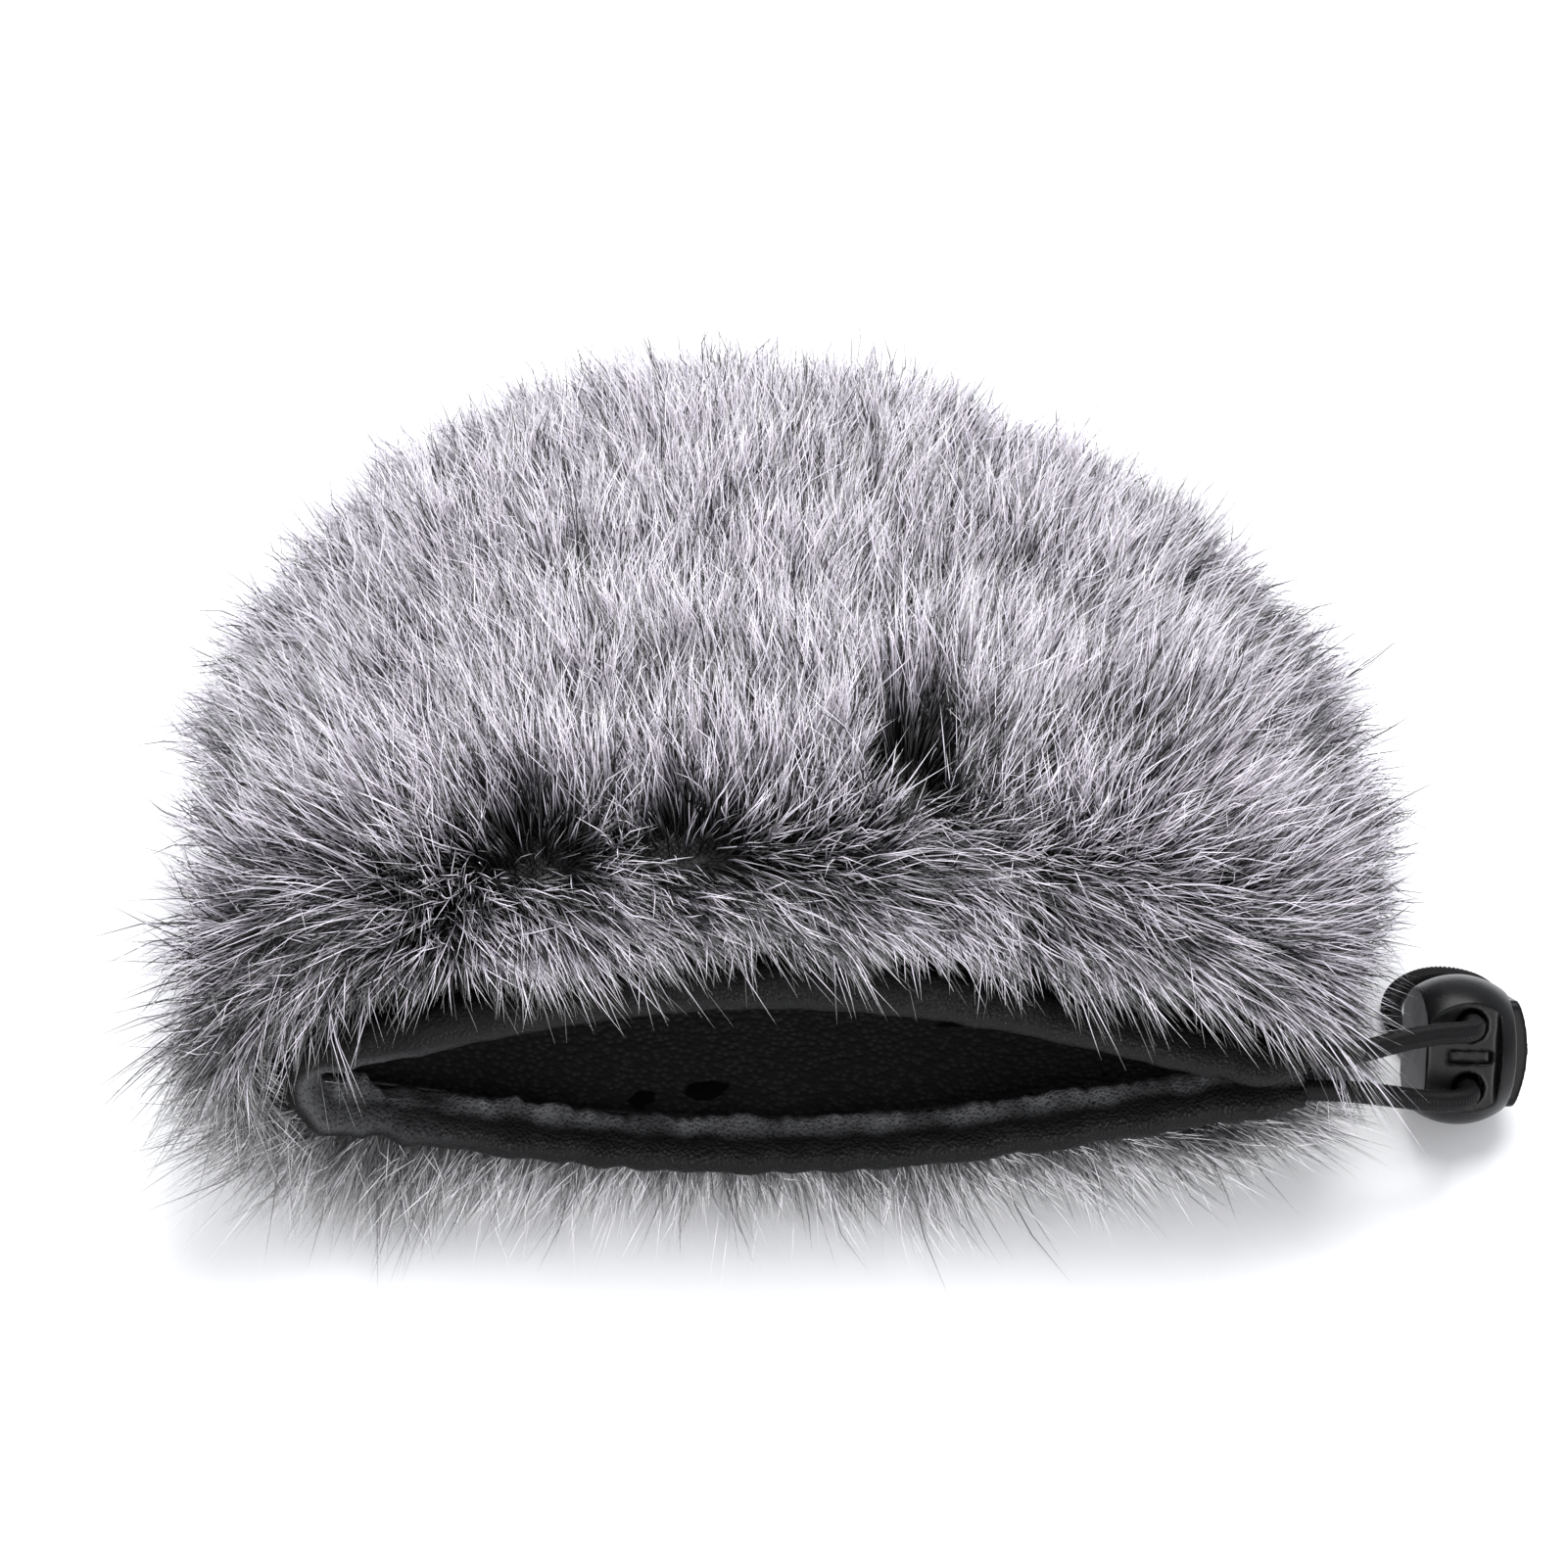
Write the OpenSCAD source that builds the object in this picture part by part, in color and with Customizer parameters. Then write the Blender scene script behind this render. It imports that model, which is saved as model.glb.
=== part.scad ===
// Furry windscreen: a pile-fabric bag with a drawcord mouth and a two-hole cord lock.
// Millimetres. The bag lies on its lower panel, mouth towards -Y, cord lock at +X.

/* [Bag] */
// Width over the pile
bag_w = 150; // [130:1:170]
// Depth from the mouth to the crown, over the pile
bag_d = 130; // [124:1:150]
// Height of the seam between the two panels above the base
seam_z = 22; // [21:1:24]
// Height of the crown above the seam, over the pile
crown_h = 38; // [37:1:44]
// Pile thickness at the sides and the crown
pile_t = 11; // [9:0.5:12]
// Pile thickness under the bag, pressed flat by its weight
pile_under = 6.5; // [5:0.5:7]
// Thickness of the knitted ground
backing_t = 0.8; // [0.5:0.1:1]
// Thickness of the lining
lining_t = 0.6; // [0.4:0.1:0.8]

/* [Mouth casing] */
// Depth of the casing strip along Y
casing_d = 8.8; // [8:0.1:9]
// Thickness of the casing over its channel
casing_t = 5; // [4.6:0.1:5.2]
// Wall of the folded strip
casing_wall = 0.8; // [0.5:0.1:0.9]
// Rise of the upper lip over the seam, at the middle
lip_rise = 11; // [6:0.5:11]
// Drop of the lower lip below the seam, at the middle
lip_drop = 7.5; // [5:0.5:7.5]

/* [Drawcord] */
// Diameter of the elastic cord
cord_dia = 2.7; // [2.4:0.1:2.8]

/* [Cord lock] */
// Diameter of the ball
ball_dia = 18.4; // [18:0.1:18.8]
// Distance from the ball's centre to its left end
ball_left = 5.4; // [5.3:0.1:5.8]
// Distance from the ball's centre to its button end
ball_right = 5.6; // [5.4:0.1:6]
// Thickness between the two flats that the holes open on
ball_flats = 12.6; // [12:0.1:13]
// Distance between the centres of the two holes
hole_gap = 7.8; // [7.6:0.1:8]
// Diameter of a hole
hole_dia = 4; // [3.8:0.1:4.1]
// Width of the plunger across the two holes
plunger_w = 13.2; // [12.8:0.1:13.4]
// Thickness of the plunger along the holes
plunger_t = 7.4; // [7:0.1:7.6]
// Travel of the plunger
plunger_travel = 2.2; // [1.8:0.1:2.2]

/* [Hidden] */

// ---- Mouth ----
front_y = -bag_d / 2;
crown_y = bag_d / 2;
edge_depth = 13.4;                  // the pile reaches this far past the edge of its ground
edge_y = front_y + edge_depth;      // front edge of the knitted ground and of the lining
seam_gap = 0.7;                     // room for a thread between two layers
exit_x = 62;                        // right end of the casing, where the cord comes out
turn_x = -52;                       // centre of the turn at the left end
turn_r = 5.5;                       // radius of that turn
exit_gap = casing_t / 2 + 0.2;      // half distance between the two ends at the exit
exit_straight = 0.05;               // share of a lip that runs straight at the exit
lip_shape = 1.3;                    // a larger number makes the lips' bow narrower
casing_y = edge_y - seam_gap - casing_d / 2;
casing_top = lip_rise + (turn_r + exit_gap) / 2 + casing_t / 2;
casing_bottom = lip_drop + (turn_r + exit_gap) / 2 + casing_t / 2;
lip_steps = 22;
turn_steps = 8;

// ---- Bag: plan and section ----
rows = 22;             // rows of points from the mouth to the crown
columns = 24;          // points across one panel
belly_y = -22;         // where the bag is widest and highest
plan_power = 2.2;      // roundness of the plan behind the belly
profile_power = 2.8;   // roundness of the side view behind the belly
top_power = 2.1;       // roundness of the upper section
bottom_power = 2.6;    // squareness of the lower section
crown_lean = 8;        // the crown sits this far to the left
under_swell = 2.5;     // the lower section would reach this far below the base, and is cut flat there
lower_tuck = 3;        // the lower pile is this much narrower than the upper
exit_recess = 20;      // the pile parts this far back where the drawcord comes out
exit_angle = 24;       // half angle of that parting
pleat_depth = 4;       // pinch in the left side near the crown
pleat_y = 50;
pleat_w = 5;
layer_gap = 0.2;       // between the pile and its knitted ground
mouth_narrow = 9;      // the pile is this much narrower, to each side, at the mouth
mouth_low = 12;        // the pile is this much lower at the mouth
nap_over = 1;          // the pile on the crown is this much thicker than at the sides
casing_clear = 0.4;    // between the casing and the bag's inner layers

// A layer is [half width, half width at the mouth, top height, top height at the mouth,
//   bottom height, bottom height at the mouth, crown y, front y]
pile_skin = [
    bag_w / 2, bag_w / 2 - mouth_narrow, crown_h, crown_h - mouth_low,
    seam_z + under_swell, seam_z + under_swell, crown_y, front_y
];
pile_root = [
    bag_w / 2 - pile_t, bag_w / 2 - pile_t, crown_h - pile_t - nap_over, casing_top + casing_clear,
    seam_z - pile_under, casing_bottom + casing_clear, crown_y - pile_t, front_y
];

function inset(layer, d, y) = [
    layer[0] - d, layer[1] - d, layer[2] - d, layer[3] - d,
    layer[4] - d, layer[5] - d, layer[6] - d, y
];

function smooth(v) = let (c = min(1, max(0, v))) c * c * (3 - 2 * c);
function behind(layer, y, power) =
    pow(max(0, 1 - pow(max(0, (y - belly_y) / (layer[6] - belly_y)), power)), 1 / power);
function ahead(y) = smooth((y - front_y) / (belly_y - front_y));
function grow(layer, y, full, mouth, power) =
    y > belly_y ? full * behind(layer, y, power) : mouth + (full - mouth) * ahead(y);
function lean(layer, y) =
    y > belly_y ? -crown_lean * pow((y - belly_y) / (layer[6] - belly_y), 2) : 0;
function pleat(y, a) = pleat_depth * exp(-pow((y - pleat_y) / pleat_w, 2)) * max(0, -cos(a));
function recess(layer, a) = layer[7] == front_y ? exit_recess * exp(-pow(a / exit_angle, 2)) : 0;
function start_y(layer, a) = layer[7] + recess(layer, a);

// Point of a layer: r from 0 at the mouth to 1 at the crown, a from 0 at +X over to 180 at -X,
// side 1 for the upper panel and -1 for the lower one
function at(layer, r, a, side) = let (
    y0 = start_y(layer, a),
    y = y0 + (layer[6] - y0) * sin(90 * r),
    power = 2 / (side > 0 ? top_power : bottom_power),
    tuck = side < 0 && layer[2] == crown_h ? lower_tuck : 0,
    half = grow(layer, y, layer[0] - tuck, layer[1] - tuck, plan_power) - pleat(y, a),
    tall = side > 0 ? grow(layer, y, layer[2], layer[3], profile_power)
                    : grow(layer, y, layer[4], layer[5], profile_power)
) [
    lean(layer, y) + half * sign(cos(a)) * pow(abs(cos(a)), power),
    y,
    max(0, seam_z + side * tall * pow(sin(a), power))
];

// Closed shell between two layers, on one side of the seam plane
module shell(outer, inner, side) {
    m = columns + 1;
    sheet = rows * m;
    tip_out = 2 * sheet;
    tip_in = tip_out + 1;
    grid = [
        for (layer = [outer, inner]) for (i = [0:rows - 1]) for (j = [0:columns])
            at(layer, i / rows, 180 * j / columns, side)
    ];
    points = concat(grid, [at(outer, 1, 90, side), at(inner, 1, 90, side)]);
    out_faces = [
        for (i = [0:rows - 2]) for (j = [0:columns - 1]) let (p = i * m + j)
            each [[p, p + 1, p + m + 1], [p, p + m + 1, p + m]]
    ];
    in_faces = [
        for (i = [0:rows - 2]) for (j = [0:columns - 1]) let (p = sheet + i * m + j)
            each [[p, p + m + 1, p + 1], [p, p + m, p + m + 1]]
    ];
    last = (rows - 1) * m;
    tip_faces = [
        for (j = [0:columns - 1]) each [
            [last + j, last + j + 1, tip_out],
            [sheet + last + j, tip_in, sheet + last + j + 1]
        ]
    ];
    mouth_faces = [
        for (j = [0:columns - 1])
            each [[j, sheet + j, sheet + j + 1], [j, sheet + j + 1, j + 1]]
    ];
    seam_faces = [
        for (i = [0:rows - 2]) let (p = i * m, q = p + columns) each [
            [p, p + m, sheet + p + m], [p, sheet + p + m, sheet + p],
            [q, sheet + q + m, q + m], [q, sheet + q, sheet + q + m]
        ]
    ];
    tip_seam = [
        [last, tip_out, tip_in], [last, tip_in, sheet + last],
        [last + columns, tip_in, tip_out], [last + columns, sheet + last + columns, tip_in]
    ];
    faces = concat(out_faces, in_faces, tip_faces, mouth_faces, seam_faces, tip_seam);
    polyhedron(points, side > 0 ? faces : [for (f = faces) [f[0], f[2], f[1]]], convexity = 6);
}

// ---- Sweeps ----
function unit(v) = v / norm(v);
function tangent(path, i, closed = false) = let (n = len(path)) closed
    ? unit(path[(i + 1) % n] - path[(i + n - 1) % n])
    : unit(path[min(n - 1, i + 1)] - path[max(0, i - 1)]);
function square_to(v, t) = unit(v - (v * t) * t);
// Frames that turn as little as they can along the path
function frames(path, first) = [
    for (i = 0, n = square_to(first, tangent(path, 0)); i < len(path);
         i = i + 1, n = i < len(path) ? square_to(n, tangent(path, i)) : n)
        [n, cross(tangent(path, i), n)]
];
// A closed section, given as [across, along] pairs, carried along an open path
function rings(path, frame, section) = [
    for (i = [0:len(path) - 1]) for (s = section) path[i] + s[0] * frame[i][0] + s[1] * frame[i][1]
];
function wall_faces(n, m, first, turn) = [
    for (i = [0:n - 2]) for (j = [0:m - 1]) let (
        a = first + i * m + j,
        b = first + i * m + (j + 1) % m,
        quad = [[a, b, b + m], [a, b + m, a + m]]
    ) for (f = quad) turn ? f : [f[0], f[2], f[1]]
];
function ellipse(rx, ry, sides) = [
    for (k = [0:sides - 1]) [rx * cos(360 * k / sides), ry * sin(360 * k / sides)]
];

module tube(path, first, radius, sides) {
    n = len(path);
    section = ellipse(radius, radius, sides);
    caps = [[for (k = [0:sides - 1]) k], [for (k = [0:sides - 1]) n * sides - 1 - k]];
    polyhedron(rings(path, frames(path, first), section), concat(wall_faces(n, sides, 0, false), caps),
               convexity = 8);
}

module hollow_tube(path, first, outer, inner) {
    n = len(path);
    m = len(outer);
    frame = frames(path, first);
    points = concat(rings(path, frame, outer), rings(path, frame, inner));
    last = (n - 1) * m;
    ends = [
        for (j = [0:m - 1]) let (k = (j + 1) % m) each [
            [j, k, n * m + k], [j, n * m + k, n * m + j],
            [last + j, n * m + last + k, last + k], [last + j, n * m + last + j, n * m + last + k]
        ]
    ];
    polyhedron(points, concat(wall_faces(n, m, 0, false), wall_faces(n, m, n * m, true), ends),
               convexity = 10);
}

function lip_bump(v) = let (c = max(0, v - exit_straight) / (1 - exit_straight))
    pow(max(0, 1 - pow(2 * c - 1, 2)), lip_shape);
function lip_point(v, side) = [
    exit_x + (turn_x - exit_x) * v,
    casing_y,
    seam_z + side * (exit_gap + (turn_r - exit_gap) * smooth(v - exit_straight)
        + (side > 0 ? lip_rise : lip_drop) * lip_bump(v))
];
// From the exit along the upper lip, round the left end and back along the lower lip
lip_path = concat(
    [for (i = [0:lip_steps]) lip_point(i / lip_steps, 1)],
    [for (i = [1:turn_steps - 1]) let (b = 180 * i / turn_steps)
        [turn_x - turn_r * sin(b), casing_y, seam_z + turn_r * cos(b)]],
    [for (i = [0:lip_steps]) lip_point(1 - i / lip_steps, -1)]
);

module mouth_casing() {
    color("#161617")
        hollow_tube(lip_path, [0, 1, 0], ellipse(casing_d / 2, casing_t / 2, 16),
                    ellipse(casing_d / 2 - casing_wall, casing_t / 2 - casing_wall, 16));
}

module casing_drawcord() {
    color("#222224") tube(lip_path, [0, 1, 0], cord_dia / 2, 8);
}

// ---- Bag panels ----
backing_out = layer_gap;
backing_in = backing_out + backing_t;
lining_out = backing_in + seam_gap;
lining_in = lining_out + lining_t;

module fur_top_pile() {
    color("#a8a1ab") shell(pile_skin, pile_root, 1);
}

module fur_bottom_pile() {
    color("#b3adb5") shell(pile_skin, pile_root, -1);
}

module fur_top_backing() {
    color("#3a393b") shell(inset(pile_root, backing_out, edge_y), inset(pile_root, backing_in, edge_y), 1);
}

module fur_bottom_backing() {
    color("#3a393b") shell(inset(pile_root, backing_out, edge_y), inset(pile_root, backing_in, edge_y), -1);
}

module lining_top() {
    color("#242426") shell(inset(pile_root, lining_out, edge_y), inset(pile_root, lining_in, edge_y), 1);
}

module lining_bottom() {
    color("#1c1c1e") shell(inset(pile_root, lining_out, edge_y), inset(pile_root, lining_in, edge_y), -1);
}

// ---- Threads ----
thread_r = 0.2;
seam_steps = 30;
seam_start = 0.3;      // the thread starts this share of a step behind the edge
// Along the seam plane from the mouth's right side round the crown to its left side
function seam_path(depth) = let (layer = inset(pile_root, depth, edge_y)) concat(
    [for (i = [0:seam_steps - 1]) at(layer, (i + seam_start) / seam_steps, 0, 1)],
    [for (i = [seam_steps - 1:-1:0]) at(layer, (i + seam_start) / seam_steps, 180, 1)]
);

module fur_seam_thread() {
    color("#101010") tube(seam_path(backing_in + seam_gap / 2), [0, 0, 1], thread_r, 6);
}

module lining_seam_thread() {
    color("#101010") tube(seam_path(lining_in + seam_gap / 2), [0, 0, 1], thread_r, 6);
}

module casing_seam_thread() {
    color("#101010")
        tube([for (p = lip_path) [p[0], edge_y - seam_gap / 2, p[2]]], [0, 1, 0], thread_r, 6);
}

// ---- Cord lock, made with its holes along Z and its button towards +X ----
lock_at = [82.5, -39, 9.6];
lock_turn = [57, 0, 10];
lock_roll = -8;
hole_y = hole_gap / 2;
pocket_gap = 0.15;     // round the plunger in its pocket
pocket_round = 1.3;
plunger_round = 1.2;
slot_gap = 0.3;        // round the cord in the plunger's slots
plunger_web = 0.8;     // material of the plunger past its slots
stop_gap = 0.1;
button_x = ball_right + plunger_travel + 2 * stop_gap;
slot_left = -cord_dia / 2 - slot_gap;
slot_right = cord_dia / 2 + slot_gap + plunger_travel;
plunger_left = slot_left - plunger_web;
pocket_left = plunger_left - plunger_travel - stop_gap;
flat_right = 3.4;      // the two flats end here, short of the button's collar
button_dome = 16;      // radius of the button's face
spring_r = 1.3;
spring_wire = 0.18;    // radius of the wire
spring_bore = 1.75;
spring_left = pocket_left + stop_gap / 2;
spring_right = 2.8;
spring_turns = 7;
coil_sides = 12;
window_left = -2.6;    // small moulded recess between the two holes
window_w = 5.4;
window_h = 1.6;
window_deep = 1;

module place_lock() {
    translate(lock_at) rotate(lock_turn) rotate([0, 0, lock_roll]) children();
}

module rounded_rect(w, h, r) {
    square([w - 2 * r, h], center = true);
    square([w, h - 2 * r], center = true);
    for (sx = [-1, 1])
        for (sy = [-1, 1])
            translate([sx * (w / 2 - r), sy * (h / 2 - r)]) circle(r, $fn = 32);
}

// Bar of rounded section along X
module bar_x(x0, x1, w, t, r) {
    translate([x0, 0, 0]) rotate([90, 0, 90]) linear_extrude(x1 - x0) rounded_rect(w, t, r);
}

module ball() {
    rotate([0, 90, 0])
        rotate_extrude($fn = 96)
            intersection() {
                circle(ball_dia / 2, $fn = 96);
                translate([0, -ball_left]) square([ball_dia, ball_left + ball_right]);
            }
}

module lock_body_shape() {
    difference() {
        ball();
        for (side = [-1, 1]) {
            translate([flat_right - ball_dia, -ball_dia / 2, side > 0 ? ball_flats / 2 : -ball_dia])
                cube([ball_dia, ball_dia, ball_dia - ball_flats / 2]);
            translate([0, side * hole_y, -ball_dia / 2]) cylinder(h = ball_dia, d = hole_dia, $fn = 48);
        }
        bar_x(pocket_left, button_x + 1, plunger_w + 2 * pocket_gap, plunger_t + 2 * pocket_gap,
              pocket_round);
        translate([window_left, -window_h / 2, ball_flats / 2 - window_deep])
            cube([window_w, window_h, 2 * window_deep]);
    }
}

module lock_body() {
    color("#1b1b1d") place_lock() lock_body_shape();
}

module plunger_slot(side) {
    w = cord_dia + 2 * slot_gap;
    for (x = [slot_left + w / 2, slot_right - w / 2])
        translate([x, side * hole_y, -ball_dia / 2]) cylinder(h = ball_dia, d = w, $fn = 48);
    translate([slot_left + w / 2, side * hole_y - w / 2, -ball_dia / 2])
        cube([slot_right - slot_left - w, w, ball_dia]);
}

module lock_plunger() {
    color("#222224") place_lock()
        difference() {
            intersection() {
                bar_x(plunger_left, button_x, plunger_w, plunger_t, plunger_round);
                translate([button_x - button_dome, 0, -ball_dia / 2])
                    cylinder(h = ball_dia, r = button_dome, $fn = 96);
            }
            plunger_slot(-1);
            plunger_slot(1);
            translate([plunger_left - 1, 0, 0]) rotate([0, 90, 0])
                cylinder(h = spring_right - plunger_left + 1, r = spring_bore, $fn = 48);
        }
}

spring_path = [
    for (i = [0:spring_turns * coil_sides])
        let (b = 360 * i / coil_sides, along = i / (spring_turns * coil_sides)) [
            spring_left + spring_wire + (spring_right - spring_left - 2 * spring_wire) * along,
            spring_r * cos(b), spring_r * sin(b)
        ]
];

module lock_spring() {
    color("silver") place_lock() tube(spring_path, [0, 1, 0], spring_wire, 6);
}

// ---- Free loop of the drawcord ----
// From the upper end of the casing, through the upper hole, round behind the lock,
// back through the lower hole and into the lower end of the casing
loop_route = [
    [62, -56.7, 24.7], [66, -56.7, 24.7], [70, -54.5, 24], [74.5, -51.5, 22.8], [79, -48.5, 21],
    [83, -46.8, 19.5], [84.2, -42.5, 16.8], [82.7, -37, 13], [81.7, -31.5, 9.5], [83.5, -28, 6.7],
    [87.5, -25.7, 4.3], [89.2, -21.5, 2.4], [86.9, -17.4, 1.5], [81.7, -16.2, 1.5], [76.8, -19.2, 1.5],
    [75.7, -24.7, 1.5], [78.5, -30, 1.5], [81.2, -35.4, 2.3], [82.2, -40.5, 6.1], [83.5, -46.5, 9.8],
    [82.8, -51, 12.5], [79, -53.5, 14.2], [74.5, -54.5, 16], [70, -55.5, 17.7], [66, -56.7, 19.3],
    [62, -56.7, 19.3]
];
loop_steps = 3;

// Smooth curve drawn by a list of control points: it starts and ends on the first and the last
function spline(route, steps) = let (
    n = len(route),
    p = concat([2 * route[0] - route[1]], route, [2 * route[n - 1] - route[n - 2]])
) concat(
    [for (i = [0:n - 2]) for (k = [0:steps - 1]) let (t = k / steps) (
        pow(1 - t, 3) * p[i] + (3 * pow(t, 3) - 6 * pow(t, 2) + 4) * p[i + 1]
        + (3 * t + 3 * pow(t, 2) - 3 * pow(t, 3) + 1) * p[i + 2] + pow(t, 3) * p[i + 3]
    ) / 6],
    [route[n - 1]]
);

module drawcord_loop() {
    color("#222224") tube(spline(loop_route, loop_steps), [0, 0, 1], cord_dia / 2, 8);
}

fur_top_pile();
fur_top_backing();
fur_bottom_pile();
fur_bottom_backing();
lining_top();
lining_bottom();
mouth_casing();
casing_drawcord();
drawcord_loop();
lock_body();
lock_plunger();
lock_spring();
fur_seam_thread();
lining_seam_thread();
casing_seam_thread();
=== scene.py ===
"""Furry windscreen bag: long pile, drawcord mouth and two-hole cord lock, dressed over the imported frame."""

import math

import bmesh
import bpy
import numpy as np
from bpy.props import FloatProperty, FloatVectorProperty, IntProperty, PointerProperty
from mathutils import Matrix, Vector


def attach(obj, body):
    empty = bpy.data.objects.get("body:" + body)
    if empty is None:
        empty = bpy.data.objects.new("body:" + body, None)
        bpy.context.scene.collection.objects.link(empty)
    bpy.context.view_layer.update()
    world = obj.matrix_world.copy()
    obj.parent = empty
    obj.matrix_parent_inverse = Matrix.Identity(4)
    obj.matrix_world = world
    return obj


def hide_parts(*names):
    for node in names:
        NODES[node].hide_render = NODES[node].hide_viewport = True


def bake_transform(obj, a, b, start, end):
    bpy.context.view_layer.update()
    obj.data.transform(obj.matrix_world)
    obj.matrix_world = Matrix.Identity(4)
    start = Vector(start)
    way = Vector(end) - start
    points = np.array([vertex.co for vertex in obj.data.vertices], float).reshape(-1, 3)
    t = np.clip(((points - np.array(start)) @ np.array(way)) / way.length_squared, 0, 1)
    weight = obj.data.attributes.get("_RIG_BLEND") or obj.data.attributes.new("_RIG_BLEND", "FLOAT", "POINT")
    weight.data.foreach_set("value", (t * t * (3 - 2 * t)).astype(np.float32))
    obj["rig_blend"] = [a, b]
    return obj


bl_info = {
    "name": "Furry Windscreen",
    "version": (1, 0, 0),
    "blender": (4, 5, 0),
    "location": "3D View > Sidebar > Windscreen",
    "description": "Builds a long-pile windscreen bag with a drawcord mouth and a cord lock",
    "category": "Object",
}

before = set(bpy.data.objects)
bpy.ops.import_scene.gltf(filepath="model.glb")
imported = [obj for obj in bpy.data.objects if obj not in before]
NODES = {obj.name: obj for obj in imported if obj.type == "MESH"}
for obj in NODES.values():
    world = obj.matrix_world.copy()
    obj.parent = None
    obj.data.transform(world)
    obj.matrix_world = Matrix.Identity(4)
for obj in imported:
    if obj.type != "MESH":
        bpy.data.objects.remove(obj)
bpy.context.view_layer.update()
MM = 0.001

# ---- Shape of the bag, as the part's source has it, in millimetres ----
BAG_W, BAG_D, SEAM_Z, CROWN_H = 150.0, 130.0, 22.0, 38.0
PILE_T, PILE_UNDER, BACKING_T, LINING_T = 11.0, 6.5, 0.8, 0.6
CASING_D, CASING_T, LIP_RISE, LIP_DROP = 8.8, 5.0, 11.0, 7.5
CORD_DIA, BALL_DIA = 2.7, 18.4
FRONT_Y, CROWN_Y = -BAG_D / 2, BAG_D / 2
EDGE_Y, SEAM_GAP = FRONT_Y + 13.4, 0.7
EXIT_X, TURN_X, TURN_R = 62.0, -52.0, 5.5
EXIT_GAP, EXIT_STRAIGHT, LIP_SHAPE = CASING_T / 2 + 0.2, 0.05, 1.3
CASING_Y = EDGE_Y - SEAM_GAP - CASING_D / 2
CASING_TOP = LIP_RISE + (TURN_R + EXIT_GAP) / 2 + CASING_T / 2
CASING_BOTTOM = LIP_DROP + (TURN_R + EXIT_GAP) / 2 + CASING_T / 2
BELLY_Y, PLAN_POWER, PROFILE_POWER = -22.0, 2.2, 2.8
TOP_POWER, BOTTOM_POWER, CROWN_LEAN = 2.1, 2.6, 8.0
PLEAT_DEPTH, PLEAT_Y, PLEAT_W, LAYER_GAP = 4.0, 50.0, 5.0, 0.2
# How softly the lining's slack stops at its wall, in metres
SLACK_EASE = 0.0004
# The longest stray fibres stay in this box, in metres
ROOM = ((-0.087, -0.0775, 0.0), (0.087, 0.0755, 0.0705))
# Every other layer of the pile is finer: its fibres' length and thickness and its tufts' size, as shares
FINE_LENGTH, FINE_WIDTH, FINE_TUFT = 0.82, 0.85, 0.5
# How strongly fibres are drawn to their tuft's middle, in a coarse layer and in a fine one
GATHER, FINE_GATHER = 0.42, 0.3
# How much the lean differs from tuft to tuft, and how far single fibres stray
TOUSLE, STRAY = 0.34, 0.4
LOCK_AT = (82.5, -39.0, 9.6)
PILE_ROOT = (
    BAG_W / 2 - PILE_T, BAG_W / 2 - PILE_T, CROWN_H - PILE_T - 1, CASING_TOP + 0.4,
    SEAM_Z - PILE_UNDER, CASING_BOTTOM + 0.4, CROWN_Y - PILE_T,
)
# Partings of the upper pile: X, Y, half width and half depth in millimetres, and how hard the pile parts,
# which also sets how much painted shade darkens the parting's fibres
PARTINGS = (
    (14.5, -34, 4.2, 6.5, 1.9), (-12, -42.5, 8.0, 3.0, 1.1), (-29, -42, 6.0, 3.0, 1.1),
    (-56, -3, 3.5, 3.5, 0.7), (8, 26, 3.5, 3.0, 0.7), (43, -3, 3.5, 3.0, 0.6),
    (-62, -28, 5.0, 7.0, 0.8),
)
# From the upper end of the casing, through the lock, and back into the lower end
LOOP_ROUTE = (
    (62, -56.7, 24.7), (66, -56.7, 24.7), (70, -54.5, 24), (74.5, -51.5, 22.8), (79, -48.5, 21),
    (83, -46.8, 19.5), (84.2, -42.5, 16.8), (82.7, -37, 13), (81.7, -31.5, 9.5), (83.5, -28, 6.7),
    (87.5, -25.7, 4.3), (89.2, -21.5, 2.4), (86.9, -17.4, 1.5), (81.7, -16.2, 1.5), (76.8, -19.2, 1.5),
    (75.7, -24.7, 1.5), (78.5, -30, 1.5), (81.2, -35.4, 2.3), (82.2, -40.5, 6.1), (83.5, -46.5, 9.8),
    (82.8, -51, 12.5), (79, -53.5, 14.2), (74.5, -54.5, 16), (70, -55.5, 17.7), (66, -56.7, 19.3),
    (62, -56.7, 19.3),
)


def inset(depth):
    """The bag's inner layer moved in by depth."""
    return tuple(value - depth for value in PILE_ROOT)


def smooth(value):
    c = np.clip(value, 0, 1)
    return c * c * (3 - 2 * c)


def bell(value, middle, spread):
    return np.exp(-(((value - middle) / spread) ** 2))


def behind(layer, y, power):
    back = np.clip((y - BELLY_Y) / (layer[6] - BELLY_Y), 0, 1)
    return (1 - back**power) ** (1 / power)


def grow(layer, y, full, mouth, power):
    ahead = mouth + (full - mouth) * smooth((y - FRONT_Y) / (BELLY_Y - FRONT_Y))
    return np.where(y > BELLY_Y, full * behind(layer, y, power), ahead)


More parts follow.
